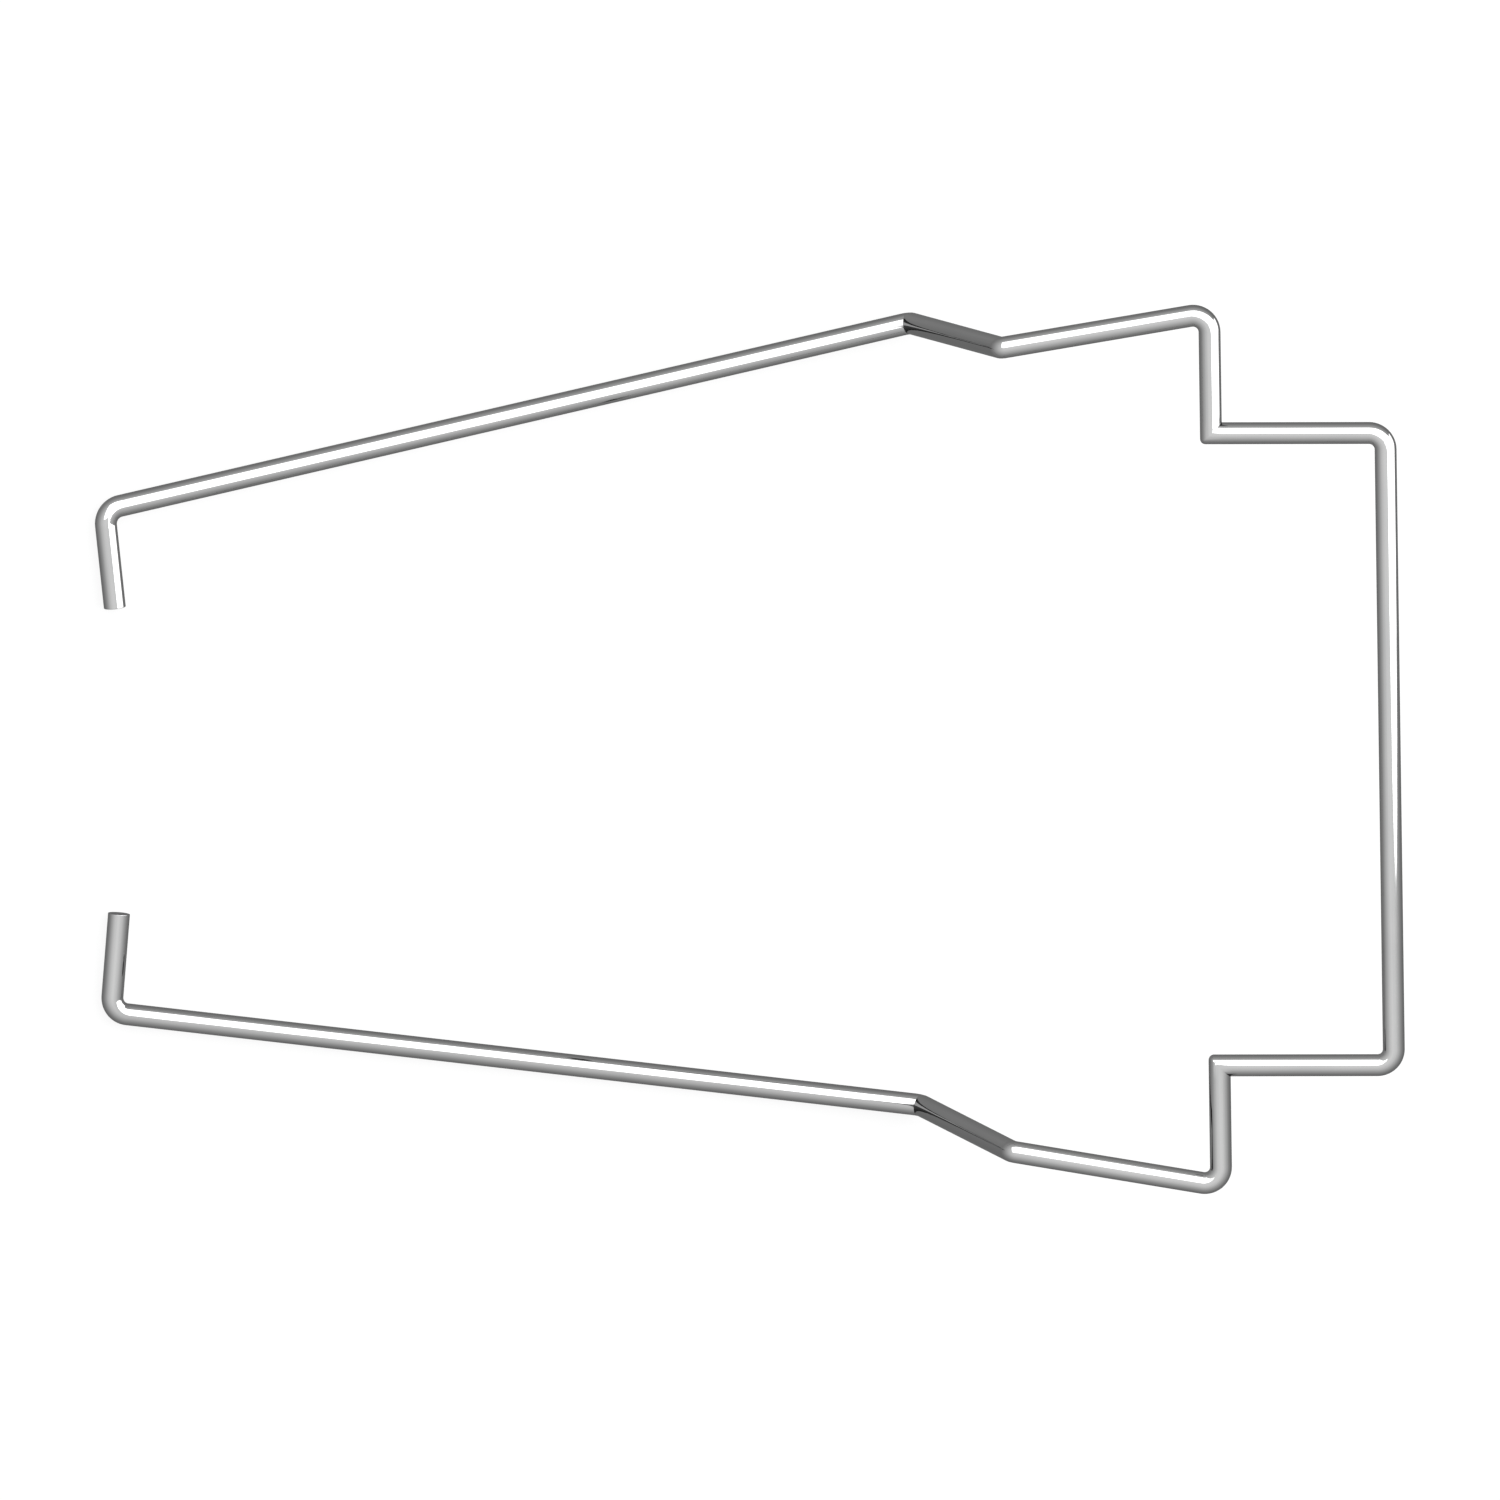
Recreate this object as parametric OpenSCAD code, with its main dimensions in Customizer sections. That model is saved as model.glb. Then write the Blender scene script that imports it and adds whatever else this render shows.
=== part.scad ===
/* [Wire] */
// Diameter of the spring wire
wire_d = 1.0; // [0.8:0.05:1.2]

/* [Pivot pins] */
// Distance across the two legs at their pins, between wire centres
pivot_span = 23.15; // [20:0.05:26]
// Length of each pin, from the centre of its leg to the cut end
pin_length = 4.55; // [3:0.05:6]
// How far each pin leans towards the bar, in degrees
pin_lean = 5.5; // [0:0.5:10]

/* [Legs] */
// Length of the legs, from the pins to the step
leg_run = 38.15; // [30:0.05:45]
// Distance across the legs where they meet the step, between wire centres
knee_span = 36; // [32:0.05:38]

/* [Step] */
// Length of the step that lifts the loop above the legs
step_run = 11.45; // [8:0.05:14]
// Rise of the step from the plane of the legs, in degrees
step_angle = 84.5; // [70:0.5:90]
// Distance across the top of the step, between wire centres
heel_span = 37; // [34:0.05:39]

/* [Loop] */
// Rise of the loop from the plane of the legs, in degrees
loop_angle = 20; // [10:0.5:30]
// Length of the loop's sides, from the step to the shoulders
side_run = 9.5; // [7:0.05:12]
// Distance across the shoulders, between wire centres
shoulder_span = 40.2; // [39:0.05:44]
// Length of the narrow end, from the shoulders to the bar
tab_run = 7.95; // [5:0.05:11]
// Distance across the narrow end, between wire centres
tab_span = 29.1; // [24:0.05:33]

/* [Bends] */
// Bend between a pin and its leg, to the wire's centre
pivot_bend = 0.8; // [0.6:0.05:1.5]
// Bend between a leg and the step, to the wire's centre
knee_bend = 0.35; // [0:0.05:1.5]
// Bend between the step and the loop, to the wire's centre
heel_bend = 0.3; // [0:0.05:1.5]
// Bend of a shoulder, to the wire's centre
shoulder_bend = 0.75; // [0:0.05:1.5]
// Bend where the narrow end leaves the shoulders, to the wire's centre
neck_bend = 0; // [0:0.05:1.5]
// Bend between the narrow end and the bar, to the wire's centre
bar_bend = 0.75; // [0:0.05:1.5]
// How much a bend swells the wire's radius
bend_swell = 0.01; // [0.005:0.005:0.03]

/* [Hidden] */

wire_r = wire_d / 2;
bend_r = wire_r + bend_swell;
// How far each straight reaches into the bend at its end
lap = 0.05;
// Inner radius of a bend tighter than the wire, hidden in its two straights
bend_core = 0.03;
// Facets round the wire, and in a full turn of a bend
wire_facets = 48;
turn_facets = 96;

// Direction of a vector
function unit(v) = v / norm(v);
// Angle that the wire turns through at b, on its way from a to c
function turn_at(a, b, c) = acos(unit(b - a) * unit(c - b));
// Length that the bend at b takes from each of its straights
function setback(a, b, c, radius) = radius * tan(turn_at(a, b, c) / 2);
// Direction towards the bar that climbs from the plane of the legs
function rise(angle) = [cos(angle), 0, sin(angle)];
// The same point on the clip's other side
function across(p) = [p[0], -p[1], p[2]];

// Corners of the wire on one side, from the cut end of the pin to the bar.
// The clip lies on the bends of its pins and legs.
pivot = [0, pivot_span / 2, bend_r];
tip = pivot + pin_length * [sin(pin_lean), -cos(pin_lean), 0];
knee_mid = [leg_run, 0, bend_r];
knee = knee_mid + [0, knee_span / 2, 0];
heel_mid = knee_mid + step_run * rise(step_angle);
heel = heel_mid + [0, heel_span / 2, 0];
shoulder_mid = heel_mid + side_run * rise(loop_angle);
shoulder = shoulder_mid + [0, shoulder_span / 2, 0];
neck = shoulder_mid + [0, tab_span / 2, 0];
bar_mid = shoulder_mid + tab_run * rise(loop_angle);
bar_end = bar_mid + [0, tab_span / 2, 0];

// The whole wire, from one cut end to the other
one_side = [tip, pivot, knee, heel, shoulder, neck, bar_end];
one_side_bends = [0, pivot_bend, knee_bend, heel_bend, shoulder_bend, neck_bend, bar_bend];
last = len(one_side) - 1;
corners = concat(one_side, [for (i = [last : -1 : 0]) across(one_side[i])]);
bends = concat(one_side_bends, [for (i = [last : -1 : 0]) one_side_bends[i]]);

// Where the clip begins and ends along X
pivot_turn = turn_at(tip, pivot, knee);
pivot_inward = unit(unit(tip - pivot) + unit(knee - pivot));
pivot_centre = pivot + pivot_inward * pivot_bend / cos(pivot_turn / 2);
back_x = pivot_centre[0] - pivot_bend - bend_r;
front_x = bar_mid[0] + bend_r;

// Places its children with X along the wire and Y towards the inside of a bend
module in_plane(origin, along, toward) {
    x = unit(along);
    z = unit(cross(along, toward));
    y = cross(z, x);
    multmatrix([
        [x[0], y[0], z[0], origin[0]],
        [x[1], y[1], z[1], origin[1]],
        [x[2], y[2], z[2], origin[2]],
        [0, 0, 0, 1]
    ]) children();
}

// Straight wire from one point to another
module straight(from, to) {
    d = unit(to - from);
    translate(from) rotate([0, acos(d[2]), atan2(d[1], d[0])])
        cylinder(r = wire_r, h = norm(to - from), $fn = wire_facets);
}

// Wire bent through the corner at b, a little swollen
module bend(a, b, c, radius) {
    start = b - unit(b - a) * setback(a, b, c, radius);
    core = radius == 0 ? 0 : bend_core;
    in_plane(start, b - a, c - b) translate([0, radius, 0]) rotate([0, 0, -90])
        rotate_extrude(angle = turn_at(a, b, c), $fn = turn_facets) intersection() {
            translate([radius, 0]) circle(r = bend_r, $fn = wire_facets);
            translate([core, -bend_r]) square([radius + bend_r, 2 * bend_r]);
        }
}

module wire_clip() {
    runs = len(corners) - 1;
    color("silver") translate([-(back_x + front_x) / 2, 0, 0]) {
        for (i = [0 : runs - 1]) {
            a = corners[i];
            b = corners[i + 1];
            along = unit(b - a);
            from_bend = i == 0 ? 0 : setback(corners[i - 1], a, b, bends[i]) - lap;
            to_bend = i == runs - 1 ? 0 : setback(a, b, corners[i + 2], bends[i + 1]) - lap;
            straight(a + along * from_bend, b - along * to_bend);
        }
        for (i = [1 : runs - 1]) bend(corners[i - 1], corners[i], corners[i + 1], bends[i]);
    }
}

wire_clip();
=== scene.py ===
import math

import bmesh
import bpy
from mathutils import Matrix, Vector


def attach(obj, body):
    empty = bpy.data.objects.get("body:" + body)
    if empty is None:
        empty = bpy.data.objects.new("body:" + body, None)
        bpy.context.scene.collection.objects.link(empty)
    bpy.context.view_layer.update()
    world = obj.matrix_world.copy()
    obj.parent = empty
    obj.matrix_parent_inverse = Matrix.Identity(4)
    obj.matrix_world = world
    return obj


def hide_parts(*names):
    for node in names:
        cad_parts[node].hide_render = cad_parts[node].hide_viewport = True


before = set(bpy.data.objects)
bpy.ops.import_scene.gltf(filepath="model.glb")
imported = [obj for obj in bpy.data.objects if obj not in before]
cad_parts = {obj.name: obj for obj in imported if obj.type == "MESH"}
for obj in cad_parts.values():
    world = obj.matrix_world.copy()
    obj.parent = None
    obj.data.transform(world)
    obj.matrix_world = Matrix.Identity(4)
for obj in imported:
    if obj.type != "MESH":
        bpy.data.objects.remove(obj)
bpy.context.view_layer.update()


# The camera looks down on the clip over its pins, from the photograph's side. The
# photograph has no vanishing points, so the view is orthographic: its width is the
# width of table that the photograph takes in.
view_width = 0.068176
view_middle = Vector((-0.000177, 0.000349, 0.009921))
view_turn = (math.radians(-8.865), math.radians(-15.870), math.radians(-0.807))
camera_distance = 0.25
bpy.ops.object.camera_add(rotation=view_turn)
camera = bpy.context.object
towards_camera = camera.rotation_euler.to_matrix() @ Vector((0, 0, 1))
camera.location = view_middle + towards_camera * camera_distance
camera.data.type = "ORTHO"
camera.data.ortho_scale = view_width
camera.data.clip_start = 0.001
camera.data.clip_end = 10.0
bpy.context.scene.camera = camera


# Spring wire of the clip: one length of round, hard-drawn steel wire, 1 mm thick, with a
# bright plated finish. A bending machine feeds it and turns it corner by corner, and
# both its ends are sheared off square. Nothing is fixed to it.
wire_radius = 0.0005
wire_sides = 64
# Runs of wire from corner to corner, along the clip, and spans across it between the
# wire's centres. The pins lean towards the bar.
pin_length = 0.00455
pin_lean = math.radians(5.5)
pivot_span = 0.02315
leg_run = 0.03815
knee_span = 0.036
step_run = 0.01145
step_angle = math.radians(84.5)
heel_span = 0.037
loop_angle = math.radians(20)
side_run = 0.0095
shoulder_span = 0.0402
narrow_end_run = 0.00795
narrow_end_span = 0.0291
# Radius of each bend to the wire's centre. The neck is folded so sharply that only its
# outermost skin is round, which is a bend with its centre outside the wire's.
pivot_bend = 0.0008
knee_bend = 0.00035
heel_bend = 0.0003
shoulder_bend = 0.00075
neck_bend = -0.00025
bar_bend = 0.00075
bend_steps = 14


def rise(run, angle):
    """A run towards the bar that climbs from the plane of the legs."""
    return Vector((run * math.cos(angle), 0, run * math.sin(angle)))


def beside(middle, span):
    """The point half a span beside the clip's middle."""
    return middle + Vector((0, span / 2, 0))


# The clip lies on its legs, with the frame's origin in the middle of its length
pivot_middle = Vector((-0.027856, 0, wire_radius))
knee_middle = pivot_middle + rise(leg_run, 0)
heel_middle = knee_middle + rise(step_run, step_angle)
shoulder_middle = heel_middle + rise(side_run, loop_angle)
bar_middle = shoulder_middle + rise(narrow_end_run, loop_angle)
pivot = beside(pivot_middle, pivot_span)
pin_tip = pivot + pin_length * Vector((math.sin(pin_lean), -math.cos(pin_lean), 0))

# The wire's corners from the bar's middle to one cut end, and the bends between them
bent_corners = [
    (beside(bar_middle, narrow_end_span), bar_bend),
    (beside(shoulder_middle, narrow_end_span), neck_bend),
    (beside(shoulder_middle, shoulder_span), shoulder_bend),
    (beside(heel_middle, heel_span), heel_bend),
    (beside(knee_middle, knee_span), knee_bend),
    (pivot, pivot_bend),
]
corners = [bar_middle] + [corner for corner, radius in bent_corners] + [pin_tip]
bends = []
for i, (corner, radius) in enumerate(bent_corners, start=1):
    heading = (corner - corners[i - 1]).normalized()
    next_heading = (corners[i + 1] - corner).normalized()
    turn = heading.angle(next_heading)
    setback = radius * math.tan(turn / 2)
    outward = (heading - next_heading).normalized()
    bends.append(
        {
            "radius": radius,
            "heading": heading,
            "next_heading": next_heading,
            "turn": turn,
            "start": corner - heading * setback,
            "end": corner + next_heading * setback,
            "outward": outward,
            "centre": corner - outward * radius / math.cos(turn / 2),
            "axle": heading.cross(next_heading).normalized(),
            # How far the crease inside a bend tighter than the wire reaches from it
            "crease": max(0, wire_radius - radius) * math.tan(turn / 2),
        }
    )

bpy.ops.object.select_all(action="DESELECT")
bpy.ops.mesh.primitive_circle_add(
    vertices=wire_sides,
    radius=wire_radius,
    fill_type="NOTHING",
    location=bar_middle,
    rotation=(math.radians(-90), 0, 0),
)
clip = bpy.context.object
clip.name = clip.data.name = "spring_wire"
# Each point keeps its place in the straight wire before it was bent, how far it is inside
# a bend, and whether it is sheared
for name, kind in (("place_in_wire", "FLOAT_VECTOR"), ("bent", "FLOAT"), ("sheared", "FLOAT")):
    clip.data.attributes.new(name, kind, "POINT")
for point, place in zip(clip.data.vertices, clip.data.attributes["place_in_wire"].data):
    place.vector = (point.co.x, point.co.y, 0)
bpy.ops.object.transform_apply(location=True, rotation=True, scale=True)
bpy.ops.object.mode_set(mode="EDIT")
bpy.ops.mesh.select_all(action="SELECT")


def note_ring(step, bent_share):
    """Moves the newest ring's place on along the wire, and returns its points."""
    mesh = bmesh.from_edit_mesh(clip.data)
    place_layer = mesh.verts.layers.float_vector["place_in_wire"]
    bent_layer = mesh.verts.layers.float["bent"]
    ring = [point for point in mesh.verts if point.select]
    for point in ring:
        point[place_layer] = point[place_layer] + Vector((0, 0, step))
        point[bent_layer] = bent_share
    mesh.verts.index_update()
    return [point.index for point in ring]


def run_to(goal, bent_share):
    """Feeds straight wire up to a point."""
    global reached
    bpy.ops.mesh.extrude_region_move(TRANSFORM_OT_translate={"value": goal - reached})
    ring = note_ring((goal - reached).length, bent_share)
    reached = goal
    return ring


# Rings close to each bend hold the straights' shading: how far they are from the bend, and
# how much the skin is disturbed there
rings_by_bend = ((0.0008, 0), (0.0003, 0.3), (0.0001, 0.6))
# Shortest radius along which the skin's pattern runs on through a bend
least_pattern_radius = wire_radius / 4

reached = bar_middle
for bend in bends:
    for gap, share in rings_by_bend:
        run_to(bend["start"] - bend["heading"] * (bend["crease"] + gap), share)
    bend["rings"] = [run_to(bend["start"], 1)]
    arc = max(bend["radius"], least_pattern_radius) * bend["turn"] / bend_steps
    for step in range(bend_steps):
        bpy.ops.mesh.spin(
            steps=1,
            angle=-bend["turn"] / bend_steps,
            center=bend["centre"],
            axis=bend["axle"],
        )
        bend["rings"].append(note_ring(arc, 1))
    reached = bend["end"]
    for gap, share in reversed(rings_by_bend):
        run_to(bend["end"] + bend["next_heading"] * (bend["crease"] + gap), share)

# The sheared end: a flat face with its rim eased
eased_rim = 0.000015
pin_heading = bends[-1]["next_heading"]
for gap in (2 * eased_rim, 0):
    run_to(pin_tip - pin_heading * gap, 0)
bpy.ops.mesh.edge_face_add()
bpy.ops.mesh.bevel(offset=eased_rim, segments=3, affect="EDGES")
mesh = bmesh.from_edit_mesh(clip.data)
sheared_layer = mesh.verts.layers.float["sheared"]
for point in mesh.verts:
    from_tip = point.co - pin_tip
    past_rim = from_tip.dot(pin_heading) > -1.5 * eased_rim
    if past_rim and from_tip.length < 2 * wire_radius:
        point[sheared_layer] = 1
bpy.ops.object.mode_set(mode="OBJECT")

# Inside a bend tighter than the wire, the skin gathers on the crease between the two
# straights, where it would otherwise pass through itself
for bend in bends:
    for step, ring in enumerate(bend["rings"]):
        turned = Matrix.Rotation(bend["turn"] * step / bend_steps, 3, bend["axle"])
        ring_inward = turned @ bend["axle"].cross(bend["heading"])
        for index in ring:
            point = clip.data.vertices[index]
            offset = point.co - bend["centre"]
            depth = offset.dot(ring_inward)
            if depth > 0:
                along_crease = -bend["outward"] * depth / math.cos(bend["turn"] / 2)
                sideways = bend["axle"] * offset.dot(bend["axle"])
                point.co = bend["centre"] + sideways + along_crease
bpy.ops.object.mode_set(mode="EDIT")
bpy.ops.mesh.select_all(action="SELECT")
bpy.ops.mesh.remove_doubles(threshold=0.0000002)
bpy.ops.object.mode_set(mode="OBJECT")

# The other side is the mirror image, and the wire runs on through the bar's middle
bpy.ops.object.modifier_add(type="MIRROR")
mirror = clip.modifiers[-1]
mirror.use_axis = (False, True, False)
mirror.merge_threshold = 0.000001
bpy.ops.object.modifier_apply(modifier=mirror.name)
for point, place in zip(clip.data.vertices, clip.data.attributes["place_in_wire"].data):
    if point.co.y < 0:
        place.vector.z = -place.vector.z
bpy.ops.object.mode_set(mode="EDIT")
bpy.ops.mesh.select_all(action="SELECT")
bpy.ops.mesh.normals_make_consistent(inside=False)
bpy.ops.object.mode_set(mode="OBJECT")
bpy.ops.object.shade_smooth_by_angle(angle=math.radians(32))


class Value:
    """A socket among the nodes of a finish or a room. Arithmetic on it adds Math nodes."""

    def __init__(self, tree, socket=None):
        self.tree, self.socket = tree, socket

    def node(self, kind, settings, inputs, output=0):
        """Adds a node, sets it up, fills or links its sockets, and gives one output."""
        made = self.tree.nodes.new(kind)
        for name, setting in settings.items():
            setattr(made, name, setting)
        for name, value in inputs.items():
            if isinstance(value, Value):
                self.tree.links.new(value.socket, made.inputs[name])
            else:
                made.inputs[name].default_value = value
        return Value(self.tree, made.outputs[output] if made.outputs else None)

    def math(self, operation, first, second):
        return self.node("ShaderNodeMath", {"operation": operation}, {0: first, 1: second})

    def __add__(self, other):
        return self.math("ADD", self, other)

    def __sub__(self, other):
        return self.math("SUBTRACT", self, other)

    def __rsub__(self, other):
        return self.math("SUBTRACT", other, self)

    def __mul__(self, other):
        return self.math("MULTIPLY", self, other)

    def __pow__(self, other):
        return self.math("POWER", self, other)

    __radd__ = __add__
    __rmul__ = __mul__


# Finish of the wire: bright plating over drawn steel. It shows fine lines along the wire
# from the drawing die and a faint cloudiness of the plating. The skin is a little uneven
# where the bends were formed, and dull on the sheared ends.
cloudy_plating = (0.585, 0.588, 0.592, 1)
clear_plating = (0.665, 0.665, 0.66, 1)
sheared_steel = (0.36, 0.36, 0.37, 1)
# Painted dark reflection: the colour the wire is given where it is seen in its own mirror
# image
painted_dark_reflection_colour = (0.22, 0.22, 0.22, 1)
skin_relief = 0.000002
noise_contrast = 2.4
finish = bpy.data.materials.new("bright_drawn_steel")
finish.use_nodes = True
finish.node_tree.nodes.clear()
steel = Value(finish.node_tree)


def noted(name, output="Fac"):
    """What the wire's points keep under a name."""
    return steel.node("ShaderNodeAttribute", {"attribute_name": name}, {}, output)


def wire_noise(across, along, detail):
    """Noise of full contrast with so many patches a metre across the wire and along it."""
    stretched = steel.node(
        "ShaderNodeMapping",
        {"vector_type": "POINT"},
        {"Vector": noted("place_in_wire", "Vector"), "Scale": (across, across, along)},
    )
    patches = steel.node(
        "ShaderNodeTexNoise",
        {"noise_dimensions": "3D"},
        {"Vector": stretched, "Scale": 1.0, "Detail": detail, "Roughness": 0.55},
    )
    return patches * noise_contrast + (1 - noise_contrast) / 2


def blend(share, first, second):
    """Goes from the first colour to the second one as the share goes from 0 to 1."""
    inputs = {"Factor": share, "A": first, "B": second}
    return steel.node("ShaderNodeMix", {"data_type": "RGBA"}, inputs, "Result")


die_lines = wire_noise(across=11000, along=60, detail=3.0)
clouds = wire_noise(across=900, along=260, detail=2.0)
formed = noted("bent") * wire_noise(across=4200, along=4200, detail=2.0)
sheared = noted("sheared")
plating = blend(clouds * 0.5 + die_lines * 0.5, cloudy_plating, clear_plating)
colour = blend(sheared * 0.7, plating, sheared_steel)
# Painted dark reflection: where the wire is seen mirrored in its other lengths at the sharp
# bends, its colour is painted darker than when it is seen directly
mirrored = steel.node("ShaderNodeLightPath", {}, {}, "Is Glossy Ray")
colour = blend(mirrored, colour, painted_dark_reflection_colour)
bump = steel.node(
    "ShaderNodeBump",
    {},
    {"Strength": 0.5, "Distance": skin_relief, "Height": die_lines * 0.6 + formed},
)
shader = steel.node(
    "ShaderNodeBsdfPrincipled",
    {},
    {
        "Base Color": colour,
        "Metallic": 1.0,
        "Roughness": die_lines * 0.02 + clouds * 0.01 + sheared * 0.3 + 0.02,
        "Specular Tint": (0.85, 0.85, 0.85, 1),
        "Normal": bump,
    },
    "BSDF",
)
steel.node("ShaderNodeOutputMaterial", {}, {"Surface": shader})
clip.data.materials.append(finish)

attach(clip, "root")
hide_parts("wire_clip")


# The table is a plain white sheet, lit evenly from below, so that it is just white and has
# hardly any shadow. It isn't part of the object. The wire mirrors the studio's dim lower
# half in place of the sheet, as bright metal does that is photographed between dark flags.
sheet_colour = (0.1, 0.1, 0.1, 1)
light_from_below = 0.88
bpy.ops.object.select_all(action="DESELECT")
bpy.ops.mesh.primitive_plane_add(size=4.0)
table = bpy.context.object
table.name = "pale_table"
pale = bpy.data.materials.new("pale_sheet")
pale.use_nodes = True
sheet = pale.node_tree.nodes["Principled BSDF"]
sheet.inputs["Base Color"].default_value = sheet_colour
sheet.inputs["Roughness"].default_value = 0.9
sheet.inputs["Specular IOR Level"].default_value = 0.1
sheet.inputs["Emission Color"].default_value = (1, 1, 1, 1)
sheet.inputs["Emission Strength"].default_value = light_from_below
table.data.materials.append(pale)
table.visible_glossy = False


# Both lights are so bright that the wire mirrors them as plain white bands. Neither is in
# the camera's view. A light's energy follows from its size and how bright its face is.
face_brightness = 1.8


def hang_light(name, size, location, turn):
    """Hangs a softbox, which faces along its own -Z."""
    bpy.ops.object.light_add(
        type="AREA",
        location=location,
        rotation=[math.radians(degrees) for degrees in turn],
    )
    light = bpy.context.object
    light.name = name
    light.data.shape = "RECTANGLE"
    light.data.size, light.data.size_y = size
    light.data.energy = face_brightness * math.pi * math.prod(size)
    light.visible_camera = False


# The long softbox hangs over the clip's far side. It gives the white band on the legs and
# the loop. Its end past the pins is where the band on the loop begins, at the heels.
hang_light(
    "long_softbox",
    size=(3.35, 0.97),
    location=(1.007, 0.370, 0.747),
    turn=(-25.91, -7.02, -5.80),
)

# The strip light stands beyond the bar. Its lower end is level with the bar's middle, so it
# gives the white band on the far pin and the far half of the bar, and none on the others.
# Its width puts a notch in the band at the far shoulder and the bar's far bend.
hang_light(
    "strip_light",
    size=(0.605, 0.145),
    location=(0.0896, -0.0107, 0.2975),
    turn=(-31.15, 73.34, 21.76),
)


# The room is brightest behind the camera and dims all round to the far side of the clip,
# where its floor has a soft light spot that the steep steps mirror. It is darker for what
# the wire mirrors of itself.
least_glow = 0.205
glow_behind_camera = 0.77
glow_fall_off = 2.2
spot_glow = 0.085
spot_fall_off = 16
towards_spot = (-0.171, 0.259, -0.950)
dimmed_in_mirror_images = 0.7
room = bpy.data.worlds.new("studio_room")
room.use_nodes = True
room.node_tree.nodes.clear()
bpy.context.scene.world = room
studio = Value(room.node_tree)
direction = studio.node("ShaderNodeTexCoord", {}, {}, "Generated")


def nearness_to(goal):
    """How close a direction in the room is to another: 1 at it, -1 on the other side."""
    inputs = {0: direction, 1: goal}
    return studio.node("ShaderNodeVectorMath", {"operation": "DOT_PRODUCT"}, inputs, "Value")


from_behind = (nearness_to(towards_camera) * 0.5 + 0.5) ** glow_fall_off * glow_behind_camera
spot = studio.math("MAXIMUM", nearness_to(towards_spot), 0) ** spot_fall_off * spot_glow
glow = from_behind + spot + least_glow
# A ray that the wire has turned once counts two when it reaches the room, and three if
# the wire has turned it twice
ray_depth = studio.node("ShaderNodeLightPath", {}, {}, "Ray Depth")
turned_twice = studio.math("GREATER_THAN", ray_depth, 2.5)
glow = glow * (1 - turned_twice * dimmed_in_mirror_images)
# The camera itself sees plain white behind the table's edge
seen = studio.node("ShaderNodeLightPath", {}, {}, "Is Camera Ray")
backdrop = studio.node(
    "ShaderNodeBackground", {}, {"Color": (1, 1, 1, 1), "Strength": glow * (1 - seen) + seen}
)
studio.node("ShaderNodeOutputWorld", {}, {"Surface": backdrop})

bpy.context.scene.view_settings.view_transform = "Standard"
